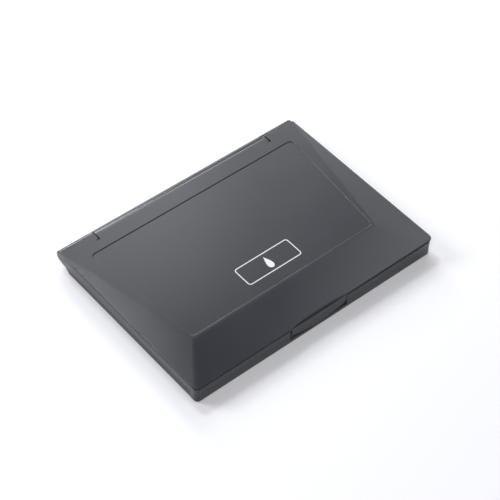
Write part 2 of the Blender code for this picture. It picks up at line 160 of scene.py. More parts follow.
# Pad unit
PAD_Y = -3.8
PAD_CORNER = 3.0
CLAMP_WIDTH = 4.5
CLOTH_HALF = (105.5, 70.2)
CLOTH_SIDE = 2.6
CLOTH_BRIM = 2.0
CLOTH_TOP = 14.3
CLOTH_CORNER = 3.0
CLOTH_SHOULDER = 1.3
CLOTH_THICK = 0.25
CLOTH_CROWN = 0.22
CLOTH_PULL = 0.16
CLOTH_SAG = 0.07
BLOCK_CUTS = (56, 40, 4)

# Printed mark: a drop in a frame
MARK_MIDDLE = Vector((1.0, -25.6))
MARK_HALF = Vector((25.5, 9.6))
MARK_CORNER = 2.6
MARK_LINE = 0.8
MARK_THICK = 0.04
MARK_GAP = 0.005
DROP_LENGTH = 6.2
DROP_SLIMNESS = 0.62


# ---------------------------------------------------------------- outlines and lofts

def arc(centre, radius, start, end, steps):
    """Points on an arc, angles in degrees."""
    points = []
    for i in range(steps + 1):
        angle = math.radians(start + (end - start) * i / steps)
        points.append((centre[0] + radius * math.cos(angle), centre[1] + radius * math.sin(angle)))
    return points


def trapezoid(half_front, front_y, half_back, back_y):
    """A shape with level front and back edges, the same on both sides of the middle."""
    return (half_front, front_y, half_back, back_y)


def shrink(shape, distance):
    """The same trapezoid with every edge moved in."""
    half_front, front_y, half_back, back_y = shape
    lean = (half_back - half_front) / (back_y - front_y)
    across = distance * math.sqrt(1 + lean * lean)
    return (half_front + lean * distance - across, front_y + distance,
            half_back - lean * distance - across, back_y - distance)


def mix(first, second, share):
    """The point, or shape, at a share of the way from first to second."""
    return tuple(a + (b - a) * share for a, b in zip(first, second))


def even(count):
    """Fractions between -1 and 1, ends left out."""
    return [-1 + 2 * (i + 1) / (count + 1) for i in range(count)]


def mirrored(half, middle):
    """The middle values, with the half's values on both sides of them."""
    return [-v for v in reversed(half)] + list(middle) + list(half)


def outline(shape, radii, front=(), back=(), side=(), corner_steps=8):
    """Anticlockwise points from the front left corner, and the outward direction at each.

    radii are those of the front and back corners. front, side and back are the fractions,
    from -1 to 1, at which the straight edges get further points.
    """
    half_front, front_y, half_back, back_y = shape
    corners = [Vector((-half_front, front_y)), Vector((half_front, front_y)),
               Vector((half_back, back_y)), Vector((-half_back, back_y))]
    corner_radii = (radii[0], radii[0], radii[1], radii[1])
    extra = (front, side, back, side)
    ends, points = [], []
    for i, corner in enumerate(corners):
        before = (corner - corners[i - 1]).normalized()
        after = (corners[(i + 1) % 4] - corner).normalized()
        turn = before.angle(after)
        reach = corner_radii[i] * math.tan(turn / 2)
        start = corner - before * reach
        centre = start + Vector((-before.y, before.x)) * corner_radii[i]
        first = math.atan2(start.y - centre.y, start.x - centre.x)
        ends.append((centre, first, turn, corner_radii[i]))
    for i, (centre, first, turn, radius) in enumerate(ends):
        for k in range(corner_steps + 1):
            angle = first + turn * k / corner_steps
            out = Vector((math.cos(angle), math.sin(angle)))
            points.append((centre + out * radius, out))
        centre_next, first_next, _, radius_next = ends[(i + 1) % 4]
        leave = points[-1][0]
        arrive = centre_next + Vector((math.cos(first_next), math.sin(first_next))) * radius_next
        fractions = extra[i] if i < 2 else [-f for f in reversed(extra[i])]
        for f in fractions:
            points.append((leave.lerp(arrive, (f + 1) / 2), points[-1][1]))
    return points


def mesh_object(name, build, sharp=SHARP_ANGLE):
    """Make an object from a bmesh that build fills in millimetres."""
    bm = bmesh.new()
    build(bm)
    bmesh.ops.remove_doubles(bm, verts=bm.verts, dist=1e-4)
    bmesh.ops.recalc_face_normals(bm, faces=bm.faces)
    bmesh.ops.scale(bm, vec=(MM, MM, MM), verts=bm.verts)
    mesh = bpy.data.meshes.new(name)
    bm.to_mesh(mesh)
    bm.free()
    mesh.shade_smooth()
    mesh.set_sharp_from_angle(angle=math.radians(sharp))
    item = bpy.data.objects.new(name, mesh)
    bpy.context.scene.collection.objects.link(item)
    return item


def bridge(bm, pairs):
    """Faces between pairs of vertex rings of equal length."""
    for lower, upper in pairs:
        for i in range(len(lower)):
            j = (i + 1) % len(lower)
            bm.faces.new((lower[i], lower[j], upper[j], upper[i]))


def skin(bm, loops):
    """Join loops of equal length, each a list of (x, y, z), and close the ends."""
    rows = [[bm.verts.new(p) for p in loop] for loop in loops]
    bridge(bm, zip(rows, rows[1:]))
    bm.faces.new(list(reversed(rows[0])))
    bm.faces.new(rows[-1])


def skin_ring(bm, loops):
    """Join loops that run once round the section of a closed ring."""
    rows = [[bm.verts.new(p) for p in loop] for loop in loops]
    bridge(bm, zip(rows, rows[1:] + rows[:1]))


def add_box(bm, low, high):
    low, high = Vector(low), Vector(high)
    place = Matrix.Translation((low + high) / 2) @ Matrix.Diagonal((*(high - low), 1.0))
    bmesh.ops.create_cube(bm, size=1.0, matrix=place)


def add_box_pair(bm, reach, depth, height):
    """A box on each side of the middle, from its ranges of |x|, y and z."""
    for side in (-1, 1):
        near, far = sorted((side * reach[0], side * reach[1]))
        add_box(bm, (near, depth[0], height[0]), (far, depth[1], height[1]))


def add_rod_pair(bm, radius, reach, sides=64):
    """A rod on the hinge axis on each side of the middle, from its range of |x|."""
    for side in (-1, 1):
        middle = Vector((side * (reach[0] + reach[1]) / 2, HINGE_Y, HINGE_Z))
        place = Matrix.Translation(middle) @ Matrix.Rotation(math.pi / 2, 4, "Y")
        bmesh.ops.create_cone(bm, cap_ends=True, segments=sides, radius1=radius, radius2=radius,
                              depth=reach[1] - reach[0], matrix=place)


def carve(item, name, build, operation="DIFFERENCE"):
    """Cut or join a helper shape, then drop the helper."""
    helper = mesh_object(name, build)
    modifier = item.modifiers.new(name, "BOOLEAN")
    modifier.operation = operation
    modifier.solver = "EXACT"
    modifier.object = helper
    bpy.context.view_layer.update()
    graph = bpy.context.evaluated_depsgraph_get()
    result = bpy.data.meshes.new_from_object(item.evaluated_get(graph))
    item.modifiers.clear()
    item.data = result
    bpy.data.objects.remove(helper, do_unlink=True)


def settle(item):
    """Shade the finished mesh: flat faces stay flat, rounded edges smooth."""
    bm = bmesh.new()
    bm.from_mesh(item.data)
    bmesh.ops.remove_doubles(bm, verts=bm.verts, dist=2e-6)
    bmesh.ops.dissolve_degenerate(bm, edges=bm.edges, dist=1e-6)
    bm.to_mesh(item.data)
    bm.free()
    item.data.shade_smooth()
    item.data.set_sharp_from_angle(angle=math.radians(SHARP_ANGLE))
    weighted = item.modifiers.new("weighted_normals", "WEIGHTED_NORMAL")
    weighted.keep_sharp = True
    weighted.weight = 80


# ---------------------------------------------------------------- lid

# Where the straight edges of the lid's loops get points, as shares of their half length
LID_FRONT_POINTS = [x / 110 for x in mirrored((26.15, 26.45, 30, 38, 50, 70, 90), range(-25, 26))]
LID_SIDE_POINTS = [-0.9, -0.7, -0.5, -0.25, 0.0, 0.25, 0.5, 0.7, 0.85, 0.93, 0.9665]
LID_BACK_POINTS = [x / 113.3 for x in mirrored((20, 40, 60, 83.0, 84.6, 95, 105), (0,))]

# (inset, height over the top) from the panel's floor up its wall
PANEL_WALL = ((0.9, -PANEL_DEPTH), (0.2, -PANEL_DEPTH), (0.1, -PANEL_DEPTH + 0.03),
              (0.05, -PANEL_DEPTH + 0.09), (0.02, -0.3), (-0.03, -0.19), (-0.12, -0.09),
              (-0.24, -0.03), (-0.38, 0.0), (-0.7, 0.0))

# Loops on the facets: shares of the way down, then insets from the rim
FACET_SHARES = (0.0, 0.012, 0.035, 0.08, 0.2, 0.4, 0.6, 0.8)
EDGE_INSETS = (4.0, 2.9, 2.65, 2.3, 1.95, 1.6, 1.3, 1.0, 0.7, EDGE_ROUND)

# (inset, share of the way up) behind the pull tab
TAB_BACK = ((TAB_THICK, 0.0), (1.18, 0.02), (1.2, 0.5), (1.22, 0.93), (1.35, 0.985), (1.6, 1.0), (3.0, 1.0))

# Points of an edge line: over the rounded edge, down the wall and under it
OVER_STEPS, DOWN_STEPS, UNDER_STEPS = 12, 16, 12


def lid_ring(shape, front_radius, back_radius=0.3):
    return outline(shape, (front_radius, back_radius), LID_FRONT_POINTS, LID_BACK_POINTS,
                   LID_SIDE_POINTS)


def roll_radius(x):
    """Radius of the front edge: it grows from the plain edge to a soft roll over the pull tab."""
    return EDGE_ROUND + TAB_ROLL * max(0.0, 1.0 - abs(x / TAB_HALF) ** 3)


def roll_drop(x, y):
    """How far the front edge's roll lies below the facet at (x, y)."""
    radius = roll_radius(x)
    share = min(max((radius - (y - FRONT_Y)) / radius, 0.0), 1.0)
    return radius * (1.0 - math.sqrt(1.0 - share * share))


def tab_low(x):
    """Lower edge of the pull tab: a shallow arc, lowest in the middle."""
    return TAB_MIDDLE_Z + (TAB_END_Z - TAB_MIDDLE_Z) * abs(x / TAB_HALF) ** 2.2


def edge_height(y):
    """Height of the lid's rim: it rises from the front to the level of the top at the back."""
    share = (y - FRONT_Y) / (PLATE_BACK_Y - FRONT_Y)
    return EDGE_Z + (TOP_Z - EDGE_Z) * min(max(share, 0.0), 1.0)


def in_hinge(x, out):
    """True for the back columns between the slots, which run down into the barrel."""
    return out.y > 0.5 and abs(x) < (SLOT_X[0] + SLOT_X[1]) / 2


def in_tab(x, out):
    """True for the front columns that run down into the pull tab."""
    return out.y < -0.5 and abs(x) < TAB_HALF - 0.03


def barrel_line(x):
    """Edge line between the slots: the top rolls over into the hollow barrel.

    The curve over the top meets the barrel's circle 60 degrees above the level.
    """
    flat, bend, end = (ROLL_Y, TOP_Z), (HINGE_Y - 0.3, TOP_Z), (HINGE_Y + 2.65, HINGE_Z + 4.59)
    line = []
    for i in range(OVER_STEPS + 1):
        t = i / OVER_STEPS
        line.append(mix(mix(flat, bend, t), mix(bend, end, t), t))
    line += arc((HINGE_Y, HINGE_Z), NOSE_RADIUS, 60, -90, DOWN_STEPS)[1:]
    line += arc((HINGE_Y, HINGE_Z), BARREL_INNER, -90, 95, UNDER_STEPS - 1)
    return [(x, y, z) for y, z in line]


def relief_line(x, y):
    """Rest of an edge line beside the slots: hollowed out round the case's nose."""
    high = math.degrees(math.asin(min((HINGE_Y - y) / RELIEF_RADIUS, 1.0))) + 90
    low = 180 - math.degrees(math.asin((UNDER_Z - HINGE_Z) / RELIEF_RADIUS))
    round_nose = arc((HINGE_Y, HINGE_Z), RELIEF_RADIUS, high, low, DOWN_STEPS - 1)
    end_y = round_nose[-1][0]
    under = [(end_y - 0.2 * (i + 1) / UNDER_STEPS, UNDER_Z) for i in range(UNDER_STEPS)]
    return [(x, v, w) for v, w in round_nose + under]


def plain_line(start, out):
    """Rest of an edge line elsewhere: straight down, then a small round to the underside."""
    x, y, z = start
    line = []
    for i in range(DOWN_STEPS):
        line.append((x, y, z + (UNDER_Z + RIM_SOFT - z) * (i + 1) / DOWN_STEPS))
    for i in range(UNDER_STEPS):
        angle = math.pi / 2 * (i + 1) / UNDER_STEPS
        back_off = RIM_SOFT * (1 - math.cos(angle))
        line.append((x - out.x * back_off, y - out.y * back_off,
                     UNDER_Z + RIM_SOFT * (1 - math.sin(angle))))
    return line


def tab_line(x, height):
    """Edge line over the pull tab: the soft roll, the flat front and the round lower edge."""
    radius = roll_radius(x)
    start = math.asin((radius - EDGE_ROUND) / radius)
    line = []
    for i in range(OVER_STEPS + 1):
        angle = start + (math.pi / 2 - start) * i / OVER_STEPS
        line.append((x, FRONT_Y + radius * (1 - math.sin(angle)), height - radius * (1 - math.cos(angle))))
    top, low = line[-1][2], tab_low(x)
    for i in range(DOWN_STEPS):
        line.append((x, FRONT_Y, top + (low + TAB_SOFT - top) * (i + 1) / DOWN_STEPS))
    for i in range(UNDER_STEPS):
        angle = math.pi / 2 * (i + 1) / UNDER_STEPS
        line.append((x, FRONT_Y + TAB_SOFT * (1 - math.cos(angle)), low + TAB_SOFT * (1 - math.sin(angle))))
    return line


def lid_edge_line(point, out):
    """Outer points at one place of the rim, from the top surface down to the underside."""
    x, y = point
    if in_hinge(x, out):
        return barrel_line(x)
    if in_tab(x, out):
        return tab_line(x, edge_height(y))
    line = []
    for i in range(OVER_STEPS + 1):
        angle = math.pi / 2 * i / OVER_STEPS
        reach = EDGE_ROUND * math.sin(angle)
        line.append((x + out.x * reach, y + out.y * reach,
                     edge_height(y) - EDGE_ROUND * (1 - math.cos(angle))))
    if y > ROLL_Y:
        return line + relief_line(line[-1][0], line[-1][1])
    return line + plain_line(line[-1], out)


def top_outline():
    """The flat top, whose sides run towards the rim's back corners."""
    lean = (TOP_BACK_X - TOP_FRONT[0]) / (PLATE_BACK_Y - TOP_FRONT[1])
    back_y = ROLL_Y - 1.0
    return trapezoid(*TOP_FRONT, TOP_FRONT[0] + lean * (back_y - TOP_FRONT[1]), back_y)


def lid_top_loops():
    """Loops from the panel's floor out to the edge of the flat top."""
    panel = trapezoid(*PANEL_FRONT, *PANEL_BACK)
    loops = []
    for inset, rise in PANEL_WALL:
        ring = lid_ring(shrink(panel, inset), PANEL_CORNER - inset, PANEL_CORNER - inset)
        loops.append([(p.x, p.y, TOP_Z + rise) for p, _ in ring])
    for inset in (1.1, 0.5):
        ring = lid_ring(shrink(top_outline(), inset), TOP_CORNER, 0.6)
        loops.append([(p.x, p.y, TOP_Z) for p, _ in ring])
    return loops


def lid_facet_loops(rim):
    """Loops from the edge of the flat top down the facets to the rim."""
    inner = lid_ring(top_outline(), TOP_CORNER)
    length = TOP_FRONT[1] - FRONT_Y - EDGE_ROUND
    shares = [*FACET_SHARES, *(1.0 - (inset - EDGE_ROUND) / length for inset in EDGE_INSETS)]
    loops = []
    for share in shares:
        loop = []
        for (a, _), (b, out) in zip(inner, rim):
            end = (b.x, ROLL_Y if in_hinge(b.x, out) else b.y, edge_height(b.y))
            x, y, z = mix((a.x, a.y, TOP_Z), end, share)
            rolled = out.y < -0.5 and abs(b.x) < TAB_HALF
            loop.append((x, y, z - roll_drop(x, y) if rolled else z))
        loops.append(loop)
    return loops


def lid_under_loops():
    """Loops from the rim's lower edge, up behind the pull tab and over the seal rib."""
    loops = []
    rib = trapezoid(RIB[0], RIB[1], RIB[0], RIB[2])
    start = trapezoid(UNDER_EDGE[0], FRONT_Y + TAB_THICK, *UNDER_EDGE)
    front_end = RIB[1] - FRONT_Y - 0.1
    for inset, up in (*TAB_BACK, (front_end, 1.0)):
        share = (inset - TAB_THICK) / (front_end - TAB_THICK)
        loop = []
        for p, out in lid_ring(mix(start, shrink(rib, -0.1), share), RIB_CORNER, 2.0):
            low = tab_low(p.x) if in_tab(p.x, out) else UNDER_Z
            loop.append((p.x, p.y, low + (UNDER_Z - low) * up))
        loops.append(loop)
    section = ((0.0, UNDER_Z), (0.02, RIB_Z + 0.2), (0.2, RIB_Z), (RIB_WIDTH - 0.2, RIB_Z),
               (RIB_WIDTH - 0.02, RIB_Z + 0.2), (RIB_WIDTH, UNDER_Z), (RIB_WIDTH + 1.0, UNDER_Z))
    for inset, z in section:
        ring = lid_ring(shrink(rib, inset), RIB_CORNER - inset, RIB_CORNER - inset)
        loops.append([(p.x, p.y, z) for p, _ in ring])
    return loops


def lid_pockets(bm):
    """Shallow pockets in the lid's underside, with thin ribs left between them."""
    for front, back, half in POCKET_ROWS:
        pitch = 2 * half / POCKETS_PER_ROW
        width = (pitch - POCKET_RIB) / 2
        edge = outline(trapezoid(width, front, width, back), (POCKET_CORNER, POCKET_CORNER), corner_steps=5)
        for i in range(POCKETS_PER_ROW):
            middle = -half + i * pitch + width
            skin(bm, [[(p.x - o.x * inset + middle, p.y - o.y * inset, z) for p, o in edge]
                      for z, inset in POCKET_LEVELS])


def make_lid():
    rim = lid_ring(trapezoid(HALF_X - EDGE_ROUND, FRONT_Y + EDGE_ROUND,
                             HALF_X - EDGE_ROUND, PLATE_BACK_Y - EDGE_ROUND), LID_CORNER - EDGE_ROUND)
    edge_loops = list(zip(*(lid_edge_line(point, out) for point, out in rim)))[1:]
    loops = lid_top_loops() + lid_facet_loops(rim) + edge_loops + lid_under_loops()
    lid = mesh_object("lid_cover", lambda bm: skin(bm, loops))
    carve(lid, "lid_bosses", lambda bm: add_rod_pair(bm, BOSS_RADIUS, BOSS_X), "UNION")
    carve(lid, "lid_slots", lambda bm: add_box_pair(
        bm, SLOT_X, (SLOT_FRONT_Y, PAST_BACK), (PAST_FLOOR, PAST_TOP)))
    carve(lid, "lid_bores", lambda bm: add_rod_pair(bm, BORE_RADIUS, LID_BORE_X, 32))
    carve(lid, "lid_pockets", lid_pockets)
    settle(lid)
    return lid


# ---------------------------------------------------------------- case

# Where the straight sides of the case's loops get points, as shares of their half length
BASE_SIDE_POINTS = [-0.985, -0.97, -0.95, -0.92, -0.85, -0.7, -0.5, -0.25, 0.0, 0.25, 0.5, 0.7, 0.85,
                    0.93, 0.97]

# (height, y) of the back below the nose: the undercut, then the slope
BACK_LINE = ((0.0, 66.0), (0.12, 67.8), (0.45, 69.5), (0.95, 70.9), (1.6, 72.1), (3.4, 74.7), (6.0, 78.4),
             (6.7, 79.7), (7.35, 81.4))

# (front height, back height, inset, side step) between the rounded floor edge and the side step
STEP_ROWS = ((3.0, 2.2, 0.25, STEP_IN * 0.6), (5.0, 3.4, 0.22, STEP_IN * 0.8), (7.0, 4.6, 0.2, STEP_IN),
             (8.6, 5.6, 0.2, STEP_IN), (8.68, 5.68, 0.2, STEP_IN - 0.03), (8.74, 5.74, 0.2, 0.1),
             (STEP_FRONT_Z, STEP_BACK_Z, 0.2, 0.0))
WALL_BACK_LEVELS = (6.4, 6.9, 7.35, 7.8, 8.4, 9.2, 10.2, 11.3, 12.4, 13.2, 13.8)

# (height, inset) of the rim and of the shadow gap under the lid
RIM_LEVELS = ((14.15, 0.0), (14.28, 0.04), (14.36, 0.12), (14.4, 0.24), (14.4, 0.75), (14.45, 0.8),
              (15.65, 0.8), (RIM_Z, 0.95))
CAVITY_LEVELS = ((2.0, 2.4), (2.15, 1.8), (2.5, 1.15), (3.0, 0.65), (3.6, 0.3), (4.4, 0.05), (5.2, 0.0),
                 (PAST_TOP, 0.0))


def back_edge(z):
    """Where the back of the case is at height z: undercut, slope, then the round nose."""
    if z >= BACK_LINE[-1][0]:
        return HINGE_Y + math.sqrt(max((NOSE_RADIUS - 0.04) ** 2 - (z - HINGE_Z) ** 2, 0.0))
    for (low, y0), (high, y1) in zip(BACK_LINE, BACK_LINE[1:]):
        if z <= high:
            return y0 + (y1 - y0) * (z - low) / (high - low)


def step_share(y):
    """How much of the side step is present: none on the front wall, all of it behind."""
    share = min(max((y - STEP_START_Y) / 1.5, 0.0), 1.0)
    return share * share * (3 - 2 * share)


def base_rows():
    """(front height, back height, inset, side step) of each loop, from the floor to the rim."""
    rows = []
    for degrees in range(0, 91, 15):
        angle = math.radians(degrees)
        z = FLOOR_ROUND * (1 - math.cos(angle))
        rows.append((z, z, FLOOR_ROUND * (1 - math.sin(angle)) + 0.3, STEP_IN * 0.4))
    rows += STEP_ROWS
    for back_z in WALL_BACK_LEVELS:
        share = (back_z - STEP_BACK_Z) / (WALL_TOP_Z - STEP_BACK_Z)
        rows.append((STEP_FRONT_Z + (WALL_TOP_Z - STEP_FRONT_Z) * share, back_z, 0.2 * (1 - share), 0.0))
    return rows + [(z, z, inset, 0.0) for z, inset in RIM_LEVELS]


def base_loops():
    """Loops from the floor to the rim; those at the side step slope down to the back."""
    loops = []
    for front_z, rear_z, inset, step in base_rows():
        shape = trapezoid(BASE_X - inset, BASE_FRONT_Y + inset, BASE_X - inset, back_edge(rear_z))
        loop = []
        for p, _ in outline(shape, (BASE_CORNER - inset, 0.5), even(9), even(7), BASE_SIDE_POINTS, 10):
            x = p.x - math.copysign(step * step_share(p.y), p.x)
            share = min(max((p.y - FRONT_Y) / (BACK_Y - FRONT_Y), 0.0), 1.0)
            loop.append((x, p.y, front_z + (rear_z - front_z) * share))
        loops.append(loop)
    return loops


def ears(bm):
    """The round ends of the back edge, with softened outer corners."""
    profile = [(EAR_START_X, NOSE_RADIUS)]
    profile += arc((BASE_X - EAR_SOFT, NOSE_RADIUS - EAR_SOFT), EAR_SOFT, 90, 0, 6)
    for side in (-1, 1):
        loops = []
        for x, radius in profile:
            ring = arc((HINGE_Y, HINGE_Z), radius, 0, 360, 72)[:-1]
            loops.append([(side * x, y, z) for y, z in ring])
        skin(bm, loops)


def cavity(bm):
    """The hollow for the pad unit, with a rounded floor edge."""
    half, front, back = CAVITY
    loops = []
    for z, inset in CAVITY_LEVELS:
        shape = trapezoid(half - inset, front + inset, half - inset, back - inset)
        edge = outline(shape, (CAVITY_CORNER, CAVITY_CORNER))
        loops.append([(p.x, p.y, z) for p, _ in edge])
    skin(bm, loops)


def scoop(bm):
    """The finger scoop in the front wall, with a rounded foot."""
    line = [(PAST_FRONT, SCOOP_FLOOR_Z)]
    for i in range(13):
        angle = math.pi / 2 * i / 12
        line.append((SCOOP_MIDDLE[0] + SCOOP_REACH[0] * math.sin(angle),
                     SCOOP_MIDDLE[1] - SCOOP_REACH[1] * math.cos(angle)))
    line += [(SCOOP_WALL_Y, PAST_TOP), (PAST_FRONT, PAST_TOP)]
    skin(bm, [[(x, y, z) for y, z in line] for x in (-SCOOP_HALF, SCOOP_HALF)])


def make_base():
    base = mesh_object("case_tray", lambda bm: skin(bm, base_loops()))
    carve(base, "base_ears", ears, "UNION")
    carve(base, "base_cavity", cavity)
    carve(base, "front_pockets", lambda bm: add_box_pair(
        bm, FRONT_POCKET_X, FRONT_POCKET_Y, (FRONT_POCKET_Z, PAST_TOP)))
    carve(base, "hinge_bay", lambda bm: add_box(
        bm, (-HINGE_BAY_X, HINGE_BAY_Y, PAST_FLOOR), (HINGE_BAY_X, PAST_BACK, PAST_TOP)))
    carve(base, "ear_tops", lambda bm: add_box_pair(
        bm, EAR_TOP_X, (EAR_TOP_Y, PAST_BACK), (EAR_TOP_Z, PAST_TOP)))
    carve(base, "ear_pads", lambda bm: add_box_pair(bm, EAR_PAD_X, EAR_PAD_Y, EAR_PAD_Z), "UNION")
    carve(base, "finger_scoop", scoop)
    carve(base, "base_bores", lambda bm: add_rod_pair(bm, BORE_RADIUS, BASE_BORE_X, 32))
    settle(base)
    return base


# ---------------------------------------------------------------- pad unit

def pad_loop(half_x, half_y, z):
    """A level loop round the middle of the pad."""
    shape = trapezoid(half_x, PAD_Y - half_y, half_x, PAD_Y + half_y)
    return [(p.x, p.y, z) for p, _ in outline(shape, (PAD_CORNER, PAD_CORNER), corner_steps=10)]


def make_frame_ring():
    """Clamp frame: rounded outer edge, level top and a bevelled inner edge."""
    low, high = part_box("pad_frame")
    out_x, out_y = high.x / MM, high.y / MM - PAD_Y
    bottom, top, width = low.z / MM, high.z / MM, CLAMP_WIDTH
    section = [(0.0, 0.3), (0.0, 1.3), (0.05, 1.52), (0.2, 1.7), (0.4, 1.8), (width - 1.0, 1.8),
               (width - 0.8, 1.72), (width - 0.1, 1.1), (width, 0.9), (width, 0.1), (width - 0.1, 0.0),
               (0.3, 0.0)]
    loops = [pad_loop(out_x - inset, out_y - inset, min(bottom + rise, top)) for inset, rise in section]
    return mesh_object("clamp_frame", lambda bm: skin_ring(bm, loops))


def make_pan():
    """Thin moulded pan with a rounded floor edge."""
    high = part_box("pad_pan")[1]
    half_x, half_y, top = high.x / MM, high.y / MM - PAD_Y, high.z / MM
    outer = [(2.2, 2.3), (1.6, 2.45), (1.0, 2.9), (0.4, 3.6), (0.1, 4.3), (0.0, 5.2), (0.0, top - 0.2),
             (0.2, top)]
    inner = [(0.8, top), (1.0, top - 0.2), (1.0, 5.2), (1.1, 4.6), (1.5, 4.0), (2.1, 3.5), (2.8, 3.3)]
    loops = [pad_loop(half_x - inset, half_y - inset, z) for inset, z in outer + inner]
    return mesh_object("moulded_pan", lambda bm: skin(bm, loops))


def soft_block(name, node, rounding, waviness):
    """A slab of felt or foam in the node's space, with soft edges and a slightly uneven face."""
    low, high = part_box(node)
    middle, half = (low + high) / 2 / MM, (high - low) / 2 / MM
    inner = Vector((half.x - rounding, half.y - rounding, half.z - rounding))

    def build(bm):
        bmesh.ops.create_cube(bm, size=2.0)
        for axis, count in enumerate(BLOCK_CUTS):
            along = [e for e in bm.edges if abs((e.verts[0].co - e.verts[1].co)[axis]) > 1e-6]
            bmesh.ops.subdivide_edges(bm, edges=along, cuts=count, use_grid_fill=True)
        for vert in bm.verts:
            full = Vector((vert.co.x * half.x, vert.co.y * half.y, vert.co.z * half.z))
            core = Vector([max(-limit, min(limit, value)) for value, limit in zip(full, inner)])
            away = full - core
            place = core + away.normalized() * rounding if away.length > 0 else full
            wave = noise.noise(Vector((full.x * 0.09, full.y * 0.09, full.z))) * waviness
            place.z -= abs(wave) * math.copysign(1.0, vert.co.z)
            vert.co = place + middle
    return mesh_object(name, build, 60)


def fold_down(flat, half):
    """Follow the flat cloth over the edge at half: (place across, length spent going down)."""
    over = abs(flat) - half
    if over <= 0:
        return flat, 0.0
    if over <= CLOTH_SIDE:
        return math.copysign(half, flat), over
    return math.copysign(half + over - CLOTH_SIDE, flat), CLOTH_SIDE


def cloth_point(flat_x, flat_y):
    """Where a point of the flat cloth lies once it is stretched over the foam and clamped."""
    half_x, half_y = CLOTH_HALF
    x, down_x = fold_down(flat_x, half_x)
    y, down_y = fold_down(flat_y, half_y)
    corner = Vector((abs(x) - (half_x - CLOTH_CORNER), abs(y) - (half_y - CLOTH_CORNER)))
    if corner.x > 0 and corner.y > 0:
        corner = corner.normalized() * max(corner.x, corner.y)
        x = math.copysign(half_x - CLOTH_CORNER + corner.x, x)
        y = math.copysign(half_y - CLOTH_CORNER + corner.y, y)
    down = max(down_x, down_y)
    edge = max(min(half_x - abs(x), half_y - abs(y)), 0.0)
    if edge < CLOTH_SHOULDER:
        down += CLOTH_SHOULDER - math.sqrt(CLOTH_SHOULDER ** 2 - (CLOTH_SHOULDER - edge) ** 2)
    crown = CLOTH_CROWN * (1 - (x / half_x) ** 4) * (1 - (y / half_y) ** 4)
    pull_x = math.exp(-max(half_y - abs(y), 0) / 7.0) * noise.noise(Vector((x * 0.35, 3.7, y * 0.03)))
    pull_y = math.exp(-max(half_x - abs(x), 0) / 7.0) * noise.noise(Vector((y * 0.35, 9.1, x * 0.03)))
    pull = 0.0 if edge < 0.4 else CLOTH_PULL * (pull_x + pull_y)
    sag = noise.noise(Vector((x * 0.035, y * 0.035, 5.0))) * CLOTH_SAG
    return (x, y + PAD_Y, CLOTH_TOP + crown - down + pull + sag)


def cloth_stops(half, full, count):
    """Grid lines of the flat cloth in one direction, closer together at the folds."""
    edge = [half - 1.3, half - 1.0, half - 0.7, half - 0.4, half - 0.15, half, half + 0.5, half + 1.3,
            half + CLOTH_SIDE, half + CLOTH_SIDE + 0.8, full]
    side = [half * i / count for i in range(1, count) if half * i / count < half - 1.6] + edge
    return mirrored(side, (0.0,))


def make_cloth():
    """Woven cover: a grid of cloth over the foam, its edge tucked under the clamp frame."""
    full_x, full_y = (half + CLOTH_SIDE + CLOTH_BRIM for half in CLOTH_HALF)

    def build(bm):
        columns, rows = cloth_stops(CLOTH_HALF[0], full_x, 64), cloth_stops(CLOTH_HALF[1], full_y, 44)
        grid = [[bm.verts.new(cloth_point(x, y)) for x in columns] for y in rows]
        for lower, upper in zip(grid, grid[1:]):
            for i in range(len(columns) - 1):
                bm.faces.new((lower[i], lower[i + 1], upper[i + 1], upper[i]))
    cloth = mesh_object("woven_cover", build, 80)
    thick = cloth.modifiers.new("cloth_thickness", "SOLIDIFY")
    thick.thickness = CLOTH_THICK * MM
    thick.offset = -1.0
    return cloth, (2 * full_x * MM, 2 * full_y * MM)


# ---------------------------------------------------------------- printed mark

def drop_outline():
    """An ink drop, pointed at the back and round at the front."""
    points = []
    for i in range(64):
        t = 2 * math.pi * i / 64
        points.append((MARK_MIDDLE.x + DROP_LENGTH * DROP_SLIMNESS * math.sin(t) * math.sin(t / 2) ** 1.6,
                       MARK_MIDDLE.y + DROP_LENGTH * math.cos(t)))
    return points


def make_mark():
    """Plain white pictogram on the label panel: an ink drop inside a pad's outline."""
    low, high = TOP_Z - PANEL_DEPTH + MARK_GAP, TOP_Z - PANEL_DEPTH + MARK_THICK
    shape = trapezoid(MARK_HALF.x, MARK_MIDDLE.y - MARK_HALF.y, MARK_HALF.x, MARK_MIDDLE.y + MARK_HALF.y)
    edge = outline(shape, (MARK_CORNER, MARK_CORNER))

    def build(bm):
        skin(bm, [[(x, y, z) for x, y in drop_outline()] for z in (low, high)])
        section = ((0.0, low), (0.0, high), (MARK_LINE, high), (MARK_LINE, low))
        skin_ring(bm, [[(p.x + MARK_MIDDLE.x - o.x * inset, p.y - o.y * inset, z) for p, o in edge]
                       for inset, z in section])
    return mesh_object("print_mark", build)


# ---------------------------------------------------------------- camera, floor and light

# View: degrees from the front and above the floor, roll, the point aimed at, metres away
VIEW_AZIMUTH, VIEW_ELEVATION, VIEW_ROLL = -39.88, 47.91, 0.571
VIEW_AIM = Vector((5.53, 1.08, 5.22)) * MM
VIEW_DISTANCE = 1.2123
VIEW_LENS = 115.0

FLOOR_SIZE = 6000.0
FLOOR_DROP = 0.02
LIGHT_DISTANCE = 1.6
LIGHT_COLOUR = (1.0, 1.005, 1.06)


